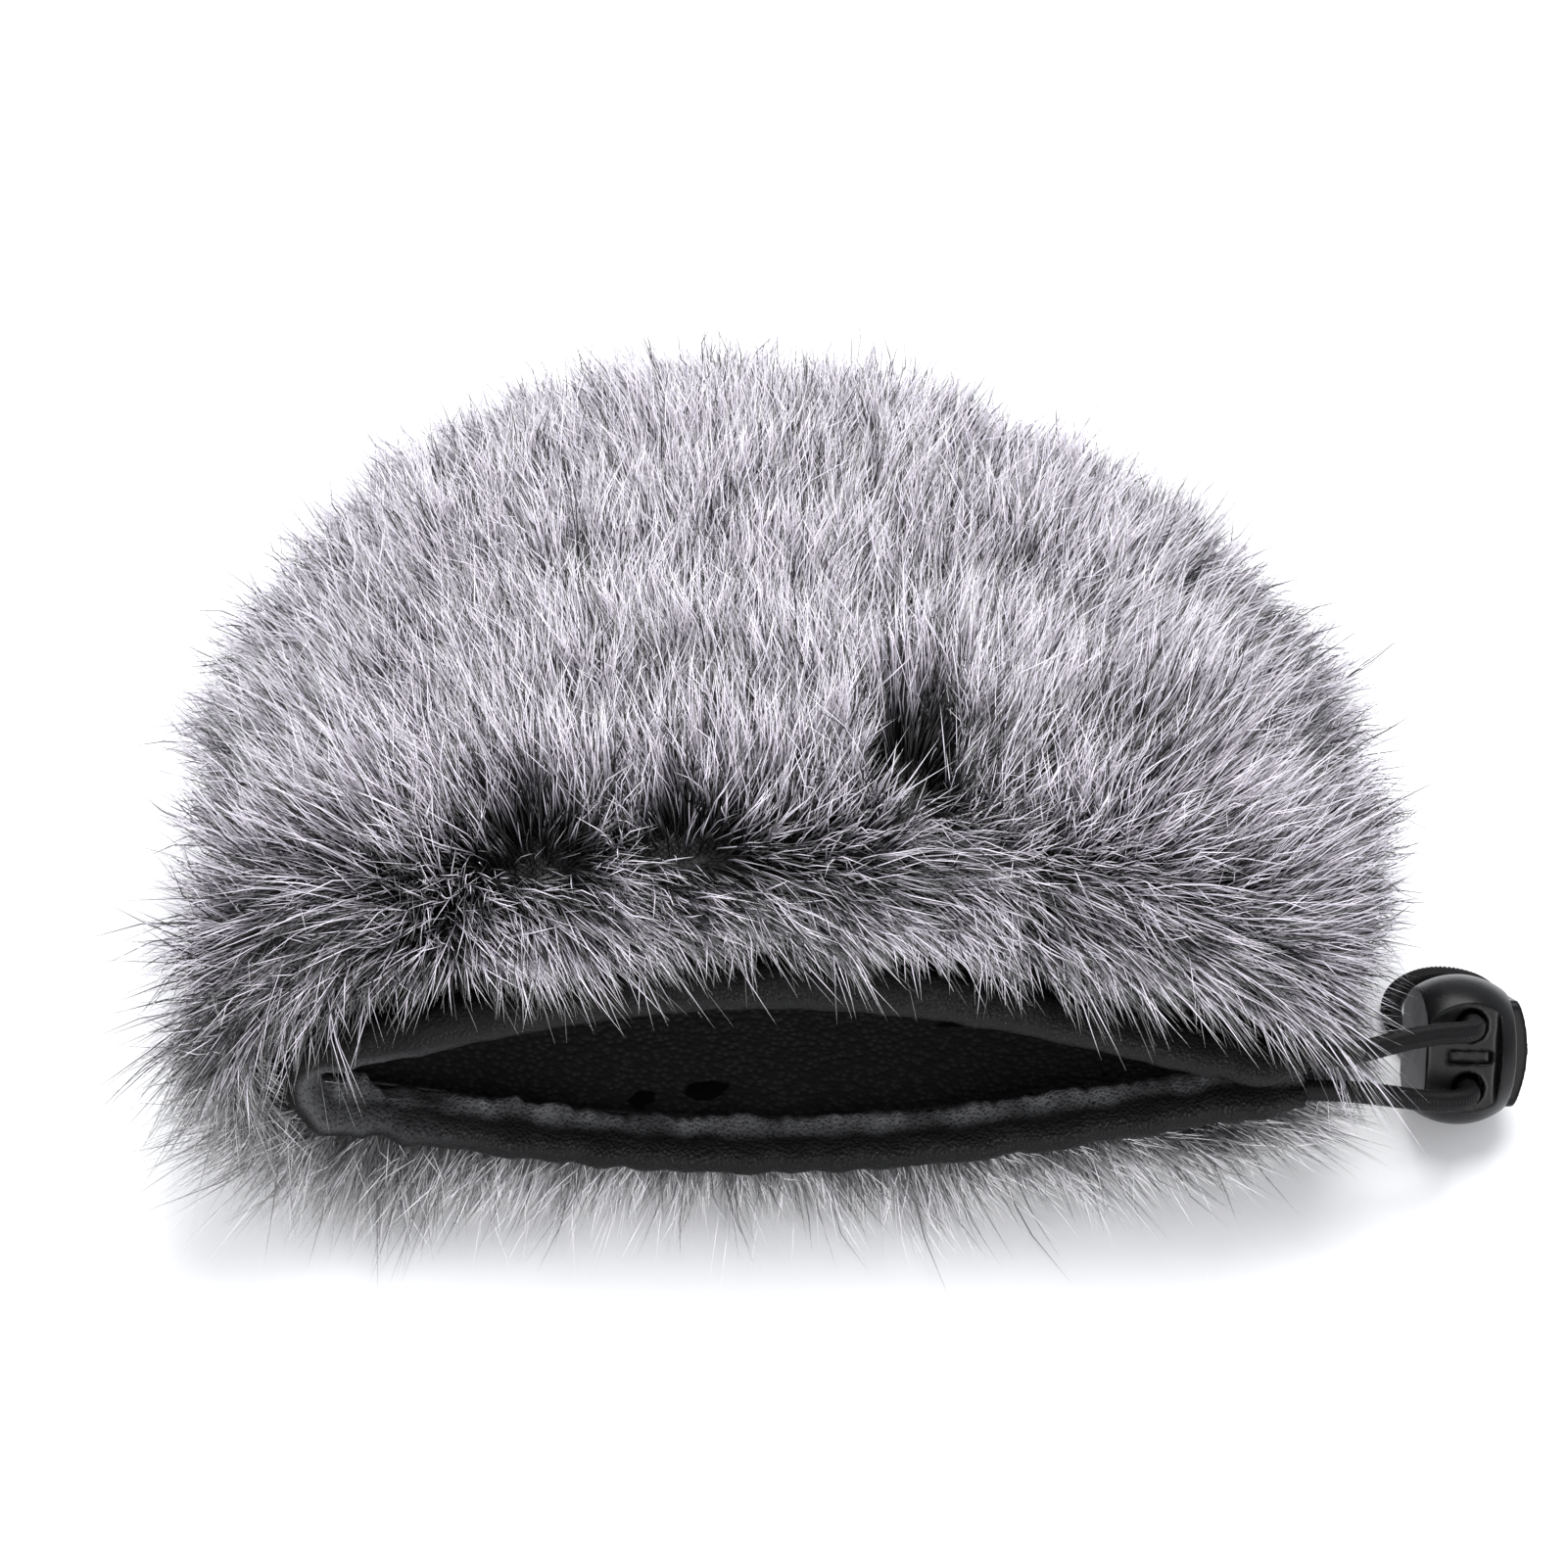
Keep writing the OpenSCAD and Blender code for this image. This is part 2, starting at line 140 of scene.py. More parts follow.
def on_layer(layer, r, a, side):
    """Points of a layer: r from 0 at the mouth to 1 at the crown, a from 0 at +X over to pi at -X."""
    y = EDGE_Y + (layer[6] - EDGE_Y) * np.sin(np.pi / 2 * r)
    power = 2 / (TOP_POWER if side > 0 else BOTTOM_POWER)
    pleat = PLEAT_DEPTH * bell(y, PLEAT_Y, PLEAT_W) * np.clip(-np.cos(a), 0, 1)
    half = grow(layer, y, layer[0], layer[1], PLAN_POWER) - pleat
    rise, at_mouth = (layer[2], layer[3]) if side > 0 else (layer[4], layer[5])
    tall = grow(layer, y, rise, at_mouth, PROFILE_POWER)
    lean = np.where(y > BELLY_Y, -CROWN_LEAN * ((y - BELLY_Y) / (layer[6] - BELLY_Y)) ** 2, 0)
    x = lean + half * np.sign(np.cos(a)) * np.abs(np.cos(a)) ** power
    z = SEAM_Z + side * tall * np.abs(np.sin(a)) ** power
    return np.stack([x, y + 0 * a, np.maximum(z, 0)], -1) * MM


def unit(v):
    return v / np.maximum(np.linalg.norm(v, axis=-1, keepdims=True), 1e-12)


def spline(route, steps):
    """Smooth curve drawn by control points: it starts and ends on the first and the last."""
    p = np.array(route, float)
    p = np.vstack([2 * p[0] - p[1], p, 2 * p[-1] - p[-2]])
    found = []
    for i in range(len(p) - 3):
        for k in range(steps):
            t = k / steps
            weights = ((1 - t) ** 3, 3 * t**3 - 6 * t**2 + 4, 1 + 3 * t + 3 * t**2 - 3 * t**3, t**3)
            found.append(sum(w * p[i + j] for j, w in enumerate(weights)) / 6)
    return np.array(found + [np.array(route[-1], float)]) * MM


# ---- Node trees written as expressions ----
class Wire:
    """One output socket; arithmetic on it adds Math or Vector Math nodes."""

    def __init__(self, graph, socket):
        self.graph = graph
        self.socket = socket

    def _is_vector(self, other):
        if isinstance(other, Wire):
            return other.socket.type == "VECTOR"
        return isinstance(other, (tuple, list))

    def _do(self, operation, a, b):
        if self._is_vector(a) or self._is_vector(b):
            if operation == "MULTIPLY" and not (self._is_vector(a) and self._is_vector(b)):
                vector, scale = (a, b) if self._is_vector(a) else (b, a)
                return self.graph.get("ShaderNodeVectorMath", {"operation": "SCALE"},
                                      {0: vector, "Scale": scale})
            return self.graph.get("ShaderNodeVectorMath", {"operation": operation}, {0: a, 1: b})
        return self.graph.get("ShaderNodeMath", {"operation": operation}, {0: a, 1: b})

    def __add__(self, other):
        return self._do("ADD", self, other)

    def __radd__(self, other):
        return self._do("ADD", other, self)

    def __sub__(self, other):
        return self._do("SUBTRACT", self, other)

    def __rsub__(self, other):
        return self._do("SUBTRACT", other, self)

    def __mul__(self, other):
        return self._do("MULTIPLY", self, other)

    def __rmul__(self, other):
        return self._do("MULTIPLY", other, self)

    def __truediv__(self, other):
        return self._do("DIVIDE", self, other)

    def __rtruediv__(self, other):
        return self._do("DIVIDE", other, self)

    def __pow__(self, other):
        return self._do("POWER", self, other)

    def at_least(self, other):
        return self._do("MAXIMUM", self, other)

    def at_most(self, other):
        return self._do("MINIMUM", self, other)

    def sine(self):
        return self.graph.get("ShaderNodeMath", {"operation": "SINE"}, {0: self})

    def cross(self, other):
        return self.graph.get("ShaderNodeVectorMath", {"operation": "CROSS_PRODUCT"}, {0: self, 1: other})

    def unit(self):
        return self.graph.get("ShaderNodeVectorMath", {"operation": "NORMALIZE"}, {0: self})

    def parts(self):
        split = self.graph.add("ShaderNodeSeparateXYZ", {}, {0: self})
        return tuple(Wire(self.graph, output) for output in split.outputs)


class Graph:
    """A node tree that takes nodes by type, settings and socket values."""

    def __init__(self, tree):
        self.tree = tree
        tree.nodes.clear()

    def add(self, kind, settings=None, inputs=None):
        node = self.tree.nodes.new(kind)
        for key, value in (settings or {}).items():
            if key == "stops":
                self._set_stops(node.color_ramp, value)
            else:
                setattr(node, key, value)
        for key, value in (inputs or {}).items():
            if isinstance(value, Wire):
                self.tree.links.new(value.socket, node.inputs[key])
            else:
                node.inputs[key].default_value = value
        return node

    def get(self, kind, settings=None, inputs=None, out=0):
        return Wire(self, self.add(kind, settings, inputs).outputs[out])

    @staticmethod
    def _set_stops(ramp, stops):
        for place, colour in stops[1:]:
            ramp.elements.new(place).color = (*colour, 1)
        ramp.elements.remove(ramp.elements[-1])
        ramp.elements[0].position = stops[0][0]
        ramp.elements[0].color = (*stops[0][1], 1)

    def vector(self, x, y, z):
        return self.get("ShaderNodeCombineXYZ", {}, {0: x, 1: y, 2: z})


class Looks(Graph):
    """A material's nodes."""

    def __init__(self, name, slot):
        self.material = bpy.data.materials.new(name)
        self.material.use_nodes = True
        self.slot = slot
        super().__init__(self.material.node_tree)

    def place(self):
        return self.get("ShaderNodeTexCoord", out="Object")

    def attribute(self, name):
        return self.get("ShaderNodeAttribute", {"attribute_name": name}, out="Fac")

    def uv(self, name):
        return self.get("ShaderNodeUVMap", {"uv_map": name})

    def noise(self, where, scale, detail=3.0, rough=0.5):
        return self.get("ShaderNodeTexNoise", {},
                        {"Vector": where, "Scale": scale, "Detail": detail, "Roughness": rough})

    def cells(self, where, scale, feature="F1"):
        return self.get("ShaderNodeTexVoronoi", {"feature": feature}, {"Vector": where, "Scale": scale},
                        "Distance")

    def ramp(self, value, stops):
        return self.get("ShaderNodeValToRGB", {"stops": stops}, {0: value})

    def mix(self, share, a, b):
        a, b = ((*c, 1) if isinstance(c, (tuple, list)) and len(c) == 3 else c for c in (a, b))
        return self.get("ShaderNodeMix", {"data_type": "RGBA"}, {0: share, 6: a, 7: b}, 2)

    def range(self, value, low, high, to_low=0.0, to_high=1.0):
        return self.get("ShaderNodeMapRange", {}, {0: value, 1: low, 2: high, 3: to_low, 4: to_high})

    def bump(self, height, strength, distance, under=None):
        inputs = {"Height": height, "Strength": strength, "Distance": distance}
        if under:
            inputs["Normal"] = under
        return self.get("ShaderNodeBump", {}, inputs)

    def close(self, **sockets):
        names = {key.replace("_", " ").title().replace("Ior", "IOR"): value
                 for key, value in sockets.items()}
        shader = self.get("ShaderNodeBsdfPrincipled", {}, names)
        self.add("ShaderNodeOutputMaterial", {}, {"Surface": shader})
        return self.material


class Builder(Graph):
    """A geometry tree with named inputs."""

    KINDS = {"float": "NodeSocketFloat", "int": "NodeSocketInt", "material": "NodeSocketMaterial"}

    def __init__(self, name, inputs):
        super().__init__(bpy.data.node_groups.new(name, "GeometryNodeTree"))
        face = self.tree.interface
        face.new_socket("Geometry", in_out="INPUT", socket_type="NodeSocketGeometry")
        for key, kind in inputs.items():
            face.new_socket(key, in_out="INPUT", socket_type=self.KINDS[kind])
        face.new_socket("Geometry", in_out="OUTPUT", socket_type="NodeSocketGeometry")
        self.entry = self.tree.nodes.new("NodeGroupInput")

    def given(self, name):
        return Wire(self, self.entry.outputs[name])

    def named(self, name, kind="FLOAT"):
        return self.get("GeometryNodeInputNamedAttribute", {"data_type": kind}, {"Name": name})

    def keep(self, shape, name, value, kind="FLOAT", domain="POINT"):
        settings = {"data_type": kind, "domain": domain}
        return self.get("GeometryNodeStoreNamedAttribute", settings,
                        {"Geometry": shape, "Name": name, "Value": value})

    def position(self):
        return self.get("GeometryNodeInputPosition")

    def move(self, shape, key, value):
        return self.get("GeometryNodeSetPosition", {}, {"Geometry": shape, key: value})

    def close(self, shape, material):
        whole = self.get("GeometryNodeRealizeInstances", {}, {"Geometry": shape})
        shaded = self.get("GeometryNodeSetShadeSmooth", {}, {"Geometry": whole})
        dressed = self.get("GeometryNodeSetMaterial", {}, {"Geometry": shaded, "Material": material})
        self.add("NodeGroupOutput", {}, {"Geometry": dressed})
        return self.tree


# ---- Objects ----
def new_object(name, data):
    obj = bpy.data.objects.new(name, data)
    bpy.context.scene.collection.objects.link(obj)
    return obj


def mesh_of(name, points, faces, material=None):
    mesh = bpy.data.meshes.new(name)
    mesh.from_pydata(np.asarray(points).reshape(-1, 3).tolist(), [], faces)
    mesh.polygons.foreach_set("use_smooth", [True] * len(mesh.polygons))
    if material:
        mesh.materials.append(material)
    mesh.update()
    return mesh


def give(mesh, name, values, kind="FLOAT"):
    """Stores a value or a vector on each point of a mesh."""
    attribute = mesh.attributes.new(name, kind, "POINT")
    attribute.data.foreach_set("value" if kind == "FLOAT" else "vector",
                               np.asarray(values, np.float32).ravel())


def settle(obj, name, keep=()):
    """The plain mesh that an object's modifiers make, as a new object; the first object goes."""
    bpy.context.view_layer.update()
    graph = bpy.context.evaluated_depsgraph_get()
    graph.update()
    shape = bpy.data.meshes.new_from_object(obj.evaluated_get(graph), preserve_all_data_layers=True,
                                            depsgraph=graph)
    bpy.data.objects.remove(obj)
    shape.name = name
    for attribute in list(shape.attributes):
        if attribute.name.startswith("made_") and attribute.name not in keep:
            shape.attributes.remove(attribute)
    return new_object(name, shape)


def run_tree(obj, tree, values):
    """Puts a geometry tree on an object, with its inputs set."""
    modifier = obj.modifiers.new("Build", "NODES")
    modifier.node_group = tree
    for item in tree.interface.items_tree:
        if item.item_type == "SOCKET" and item.in_out == "INPUT" and item.name in values:
            modifier[item.identifier] = values[item.name]
    return modifier


def grid_faces(rows, columns, closed):
    """Quads of a grid of points, row by row; closed joins the last column to the first."""
    i, j = np.meshgrid(np.arange(rows - 1), np.arange(columns if closed else columns - 1), indexing="ij")
    k = (j + 1) % columns
    quads = np.stack([i * columns + j, i * columns + k, (i + 1) * columns + k, (i + 1) * columns + j], -1)
    return quads.reshape(-1, 4).tolist()


def finish_piece(obj, body, slot, *nodes):
    if body:
        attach(obj, body)
    if nodes:
        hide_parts(*nodes)
    return obj


# ---- Materials ----
def pile_looks(name, slot, root, tip):
    """Fibre: dark at the root and pale at the tip along v, with its tone along u; the tone also carries the
    ground's painted shade.
    """
    looks = Looks(name, slot)
    shade, along, _ = looks.uv("OFBake").parts()
    grey = (sum(tip) / 3,) * 3

    def steps(end, *stops):
        return tuple((at, tuple(a + (b - a) * share for a, b in zip(root, end))) for at, share in stops)

    light = looks.ramp(along, steps(tip, (0.0, 0.0), (0.28, 0.03), (0.5, 0.45), (0.72, 0.95), (1.0, 1.05)))
    dark = looks.ramp(along, steps(grey, (0.0, 0.0), (0.6, 0.005), (0.78, 0.06), (0.92, 0.4), (1.0, 0.9)))
    colour = looks.mix(looks.range(shade, 0.37, 0.54), dark, light)
    return looks.close(base_color=colour, roughness=0.42, specular_ior_level=0.3)


def leatherette_looks(settings):
    looks = Looks("Casing leatherette", "casing_leatherette")
    place = looks.place()
    pores = looks.cells(place, 2300.0)
    crease = looks.noise(place, 900.0, 4.0, 0.6)
    patches = looks.noise(place, 160.0)
    grain = looks.bump(pores + crease * 0.8, 0.85, 0.0002)
    dark = tuple(settings.casing_colour)
    # Painted sheen: the grain is lightened towards sixty times the casing colour where the casing's sheen
    # mask is high, standing in for the glints on the lower lip's ridge
    rub = looks.attribute("rub") * looks.range(pores + crease * 0.7, 0.35, 0.85)
    colour = looks.mix(rub, dark, tuple(60 * c for c in dark))
    rough = looks.range(patches + pores * 0.4, 0.4, 0.9, 0.26, 0.42)
    return looks.close(base_color=colour, roughness=rough, specular_ior_level=0.1, normal=grain)


def mesh_cloth_looks():
    looks = Looks("Mesh lining", "mesh_lining")
    place = looks.place()
    x, y, z = place.parts()
    turns = math.tau / 0.00095
    holes = (x * turns).sine() * ((y + z * 0.6) * turns).sine()
    solid = 1.0 - looks.range(holes, -0.1, 0.7)
    colour = looks.mix(solid, (0.0005, 0.0005, 0.0005), (0.007, 0.007, 0.0075))
    knit = looks.bump(solid, 0.8, 0.0003)
    return looks.close(base_color=colour, roughness=0.6, specular_ior_level=0.3, normal=knit)


def satin_looks():
    looks = Looks("Satin lining", "satin_lining")
    place = looks.place()
    stretched = looks.get("ShaderNodeMapping", {}, {0: place, "Scale": (1.0, 3.0, 1.0)})
    weave = looks.noise(stretched, 1500.0, 2.0)
    slack = looks.noise(place, 60.0)
    colour = looks.mix(slack, (0.002, 0.002, 0.0022), (0.005, 0.005, 0.0055))
    rough = looks.range(weave, 0.3, 0.7, 0.34, 0.5)
    return looks.close(base_color=colour, roughness=rough, specular_ior_level=0.3,
                       normal=looks.bump(weave, 0.35, 0.0001))


def elastic_looks(settings):
    looks = Looks("Elastic cord", "elastic_cord")
    place = looks.place()
    fibre = looks.noise(place, 5200.0, 2.0)
    dark = tuple(settings.cord_colour)
    colour = looks.mix(looks.range(fibre, 0.3, 0.75), tuple(0.6 * c for c in dark),
                       tuple(1.8 * c for c in dark))
    return looks.close(base_color=colour, roughness=0.5, specular_ior_level=0.12,
                       normal=looks.bump(fibre, 0.5, 0.00008))


def moulded_looks(name, slot, colour):
    looks = Looks(name, slot)
    place = looks.place()
    spark = looks.noise(place, 7500.0, 2.0)
    wear = looks.noise(place, 220.0, 4.0, 0.6)
    base = looks.mix(looks.range(wear, 0.4, 0.75), colour, tuple(1.5 * c for c in colour))
    rough = looks.range(wear, 0.3, 0.7, 0.22, 0.32)
    return looks.close(base_color=base, roughness=rough, specular_ior_level=0.15,
                       normal=looks.bump(spark, 0.3, 0.00005))


def knit_looks():
    looks = Looks("Knitted ground", "fur_ground")
    loops = looks.cells(looks.place(), 1100.0)
    colour = looks.mix(looks.range(loops, 0.1, 0.5), (0.035, 0.034, 0.036), (0.008, 0.008, 0.008))
    return looks.close(base_color=colour, roughness=0.8, normal=looks.bump(loops, 0.7, 0.0003))


def thread_looks():
    looks = Looks("Sewing thread", "thread")
    x, y, z = looks.place().parts()
    ply = ((x + y + z * 1.7) * 9000.0).sine()
    colour = looks.mix(looks.range(ply, -1.0, 1.0), (0.006, 0.006, 0.006), (0.03, 0.03, 0.03))
    return looks.close(base_color=colour, roughness=0.6, normal=looks.bump(ply, 0.6, 0.00008))


def steel_looks():
    looks = Looks("Spring wire", "spring_steel")
    drawn = looks.noise(looks.place(), 6000.0, 2.0)
    rough = looks.range(drawn, 0.3, 0.7, 0.22, 0.38)
    return looks.close(base_color=(0.56, 0.56, 0.55, 1), metallic=1.0, roughness=rough)


# ---- Settings ----
class WindscreenStageSettings(bpy.types.PropertyGroup):
    distance: FloatProperty(
        name="Camera distance", description="From the mouth's foot to the camera", default=0.7, min=0.3,
        subtype="DISTANCE", unit="LENGTH")
    elevation: FloatProperty(
        name="Camera elevation", description="Height of the camera over the floor, as an angle",
        default=math.radians(44), subtype="ANGLE", unit="ROTATION")
    lens: FloatProperty(name="Lens", description="Focal length", default=133.8, min=20, unit="CAMERA")
    floor_colour: FloatVectorProperty(
        name="Floor", description="Colour of the floor", subtype="COLOR", default=(0.9, 0.9, 0.91), min=0,
        max=1)


class WindscreenPileSettings(bpy.types.PropertyGroup):
    length: FloatProperty(
        name="Length", description="Length of a fibre on the upper panel", default=0.0195, min=0.005,
        subtype="DISTANCE", unit="LENGTH")
    under_length: FloatProperty(
        name="Length below", description="Length of a fibre on the lower panel", default=0.0135, min=0.004,
        subtype="DISTANCE", unit="LENGTH")
    width: FloatProperty(
        name="Thickness", description="Half thickness of a tuft of fibres at its root", default=0.000064,
        min=0.00002, precision=6, subtype="DISTANCE", unit="LENGTH")
    lock_size: FloatProperty(
        name="Tuft", description="Size of a tuft that the fibres gather in", default=0.0034, min=0.001,
        precision=4, subtype="DISTANCE", unit="LENGTH")
    layers: IntProperty(
        name="Layers above", description="Layers of fibres on the upper panel", default=7, min=1, max=8)
    under_layers: IntProperty(
        name="Layers below", description="Layers of fibres on the lower panel", default=2, min=1, max=4)
    faces: IntProperty(
        name="Faces", description="Triangles in one layer of fibres", default=172000, min=5000, max=198000)
    root_colour: FloatVectorProperty(
        name="Root", description="Colour of a fibre at its root", subtype="COLOR",
        default=(0.006, 0.006, 0.0065), min=0, max=1)
    tip_colour: FloatVectorProperty(
        name="Tip", description="Colour of a fibre at its tip", subtype="COLOR", default=(0.84, 0.785, 0.885),
        min=0, max=1)
    # The lower panel's fibres get much paler roots and tips than the upper ones': partly the fibres' own
    # colour, partly painted light that lifts the shade under the bag
    under_root_colour: FloatVectorProperty(
        name="Root below", description="Colour of a lower fibre at its root", subtype="COLOR",
        default=(0.2, 0.197, 0.203), min=0, max=1)
    under_tip_colour: FloatVectorProperty(
        name="Tip below", description="Colour of a lower fibre at its tip", subtype="COLOR",
        default=(0.95, 0.93, 0.96), min=0, max=1)


class WindscreenTrimSettings(bpy.types.PropertyGroup):
    casing_colour: FloatVectorProperty(
        name="Casing", description="Colour of the casing", subtype="COLOR", default=(0.003, 0.003, 0.0031),
        min=0, max=1)
    cord_colour: FloatVectorProperty(
        name="Cord", description="Colour of the elastic cord", subtype="COLOR",
        default=(0.005, 0.005, 0.0053), min=0, max=1)
    lock_colour: FloatVectorProperty(
        name="Lock", description="Colour of the cord lock", subtype="COLOR", default=(0.004, 0.004, 0.0042),
        min=0, max=1)
    rib_pitch: FloatProperty(
        name="Rib pitch", description="Distance between the braid's ribs along the cord", default=0.0005,
        min=0.0001, precision=5, subtype="DISTANCE", unit="LENGTH")
    rib_height: FloatProperty(
        name="Rib height", description="Height of the braid's ribs", default=0.00012, min=0.0, precision=5,
        subtype="DISTANCE", unit="LENGTH")


# ---- Stage ----
class WINDSCREEN_OT_stage(bpy.types.Operator):
    """Makes the camera, the floor and the soft lights"""

    bl_idname = "windscreen.stage"
    bl_label = "Stage"

    def execute(self, context):
        settings = context.scene.windscreen_stage
        foot = Vector((0, -60, 10)) * MM
        slope = settings.elevation
        at = foot + settings.distance * Vector((0, -math.cos(slope), math.sin(slope)))
        camera = new_object("Camera", bpy.data.cameras.new("Camera"))
        camera.data.lens = settings.lens
        camera.data.clip_start, camera.data.clip_end = 0.01, 20
        aim = slope - math.atan(390 / 5950)
        camera.location = at
        camera.rotation_euler = (math.pi / 2 - aim, 0, 0)
        context.scene.camera = camera

        corners = [(-3, -3, 0), (3, -3, 0), (3, 3, 0), (-3, 3, 0)]
        floor = new_object("Floor", mesh_of("Floor", corners, [(0, 1, 2, 3)]))
        looks = Looks("Floor", None)
        grain = looks.noise(looks.place(), 3.0, 2.0)
        pale = tuple(settings.floor_colour)
        colour = looks.mix(grain, pale, tuple(0.99 * c for c in pale))
        floor.data.materials.append(looks.close(base_color=colour, roughness=0.75))

        world = bpy.data.worlds.new("Room")
        world.use_nodes = True
        world.node_tree.nodes["Background"].inputs[0].default_value = (0.93, 0.95, 1, 1)
        world.node_tree.nodes["Background"].inputs[1].default_value = 0.7
        context.scene.world = world
        context.scene.view_settings.view_transform = "Standard"
        for name, place, size, power in (
            ("Overhead", (0.1, 0.35, 1.1), 0.8, 15),
            ("Front", (0.2, -1.1, 0.5), 0.6, 9),
            ("Left", (-1.0, -0.1, 0.6), 0.7, 3.5),
        ):
            light = new_object(name, bpy.data.lights.new(name, "AREA"))
            light.data.size = size
            light.data.energy = power
            light.location = place
            light.rotation_euler = (Vector((0, 0, 0.03)) - Vector(place)).to_track_quat("-Z", "Y").to_euler()
        return {"FINISHED"}


# ---- Drawcord ----
def braid_tree():
    """Sweeps a round section along a curve and raises a braid on it."""
    g = Builder("Braided cord",
                {"Radius": "float", "Ring spacing": "float", "Sides": "int", "Rib pitch": "float",
                 "Rib height": "float", "Yarns": "float", "Material": "material"})
    line = g.get("GeometryNodeResampleCurve", {"mode": "LENGTH"},
                 {"Curve": g.given("Geometry"), "Length": g.given("Ring spacing")})
    along = g.get("GeometryNodeSplineParameter", out="Length")
    line = g.keep(line, "made_along", along)
    ring = g.get("GeometryNodeCurvePrimitiveCircle", {},
                 {"Resolution": g.given("Sides"), "Radius": g.given("Radius")})
    ring = g.keep(ring, "made_round", g.get("GeometryNodeSplineParameter", out="Factor"))
    tube = g.get("GeometryNodeCurveToMesh", {}, {"Curve": line, "Profile Curve": ring, "Fill Caps": True})
    step = g.named("made_along") / g.given("Rib pitch") * math.tau
    turn = g.named("made_round") * math.tau * g.given("Yarns")
    over = (step + turn).sine()
    under = (step - turn).sine()
    ribs = over.at_least(under) * g.given("Rib height")
    normal = g.get("GeometryNodeInputNormal")
    tube = g.move(tube, "Offset", normal * ribs)
    return g.close(tube, g.given("Material"))


class WINDSCREEN_OT_drawcord(bpy.types.Operator):
    """Makes the free loop of the braided elastic drawcord"""

    bl_idname = "windscreen.drawcord"
    bl_label = "Drawcord"

    def execute(self, context):
        settings = context.scene.windscreen_trim
        path = spline(LOOP_ROUTE, 12)
        line = bpy.data.curves.new("Loop line", "CURVE")
        line.dimensions = "3D"
        line.twist_mode = "MINIMUM"
        run = line.splines.new("POLY")
        run.points.add(len(path) - 1)
        run.points.foreach_set("co", np.hstack([path, np.ones((len(path), 1))]).ravel())
        guide = new_object("Loop line", line)
        run_tree(guide, braid_tree(), {
            "Radius": CORD_DIA / 2 * MM - settings.rib_height, "Ring spacing": settings.rib_pitch / 4,
            "Sides": 28, "Rib pitch": settings.rib_pitch, "Rib height": settings.rib_height,
            "Yarns": 4.0, "Material": elastic_looks(settings),
        })
        cord = settle(guide, "Drawcord_loop")
        finish_piece(cord, None, "elastic_cord", "drawcord_loop")
        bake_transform(cord, "bag", "lock", start=Vector((63, 0, 0)) * MM, end=Vector((75, 0, 0)) * MM)
        return {"FINISHED"}


# ---- Casing ----
def lip_path(steps):
    """The casing's line: from the exit along the upper lip, round the left end, back along the lower lip."""
    def lip(v, side):
        c = np.clip(v - EXIT_STRAIGHT, 0, None) / (1 - EXIT_STRAIGHT)
        bump = np.clip(1 - (2 * c - 1) ** 2, 0, None) ** LIP_SHAPE
        rise = (TURN_R - EXIT_GAP) * smooth(v - EXIT_STRAIGHT) + (LIP_RISE if side > 0 else LIP_DROP) * bump
        return np.stack([EXIT_X + (TURN_X - EXIT_X) * v, 0 * v + CASING_Y,
                         SEAM_Z + side * (EXIT_GAP + rise)], -1)

    v = np.linspace(0, 1, steps)
    b = np.linspace(0, np.pi, 60)[1:-1]
    turn = np.stack([TURN_X - TURN_R * np.sin(b), 0 * b + CASING_Y, SEAM_Z + TURN_R * np.cos(b)], -1)
    return np.vstack([lip(v, 1), turn, lip(v[::-1], -1)]) * MM


def even(path, count):
    """The path's points set evenly along it."""
    far = np.concatenate([[0], np.cumsum(np.linalg.norm(np.diff(path, axis=0), axis=1))])
    at = np.linspace(0, far[-1], count)
    return np.stack([np.interp(at, far, path[:, k]) for k in range(3)], -1), at


def ripple(at, seed, waves, low, high):
    """A sum of sines of random phase and length, from low to high, in metres."""
    rng = np.random.default_rng(seed)
    total = np.zeros_like(at)
    for _ in range(waves):
        total += np.sin(at * math.tau / rng.uniform(low, high) + rng.uniform(0, math.tau))
    return total / math.sqrt(waves)


def crumple(u, v, seed, waves, low, high):
    """Crossing waves of random direction over a surface, about -1 to 1."""
    rng = np.random.default_rng(seed)
    total = 0 * u + 0 * v
    for _ in range(waves):
        way, size = rng.uniform(-1.1, 1.1), rng.uniform(low, high)
        across = u * math.cos(way) + v * math.sin(way)
        total = total + np.sin(across * math.tau / size + rng.uniform(0, math.tau))
    return total / math.sqrt(waves)


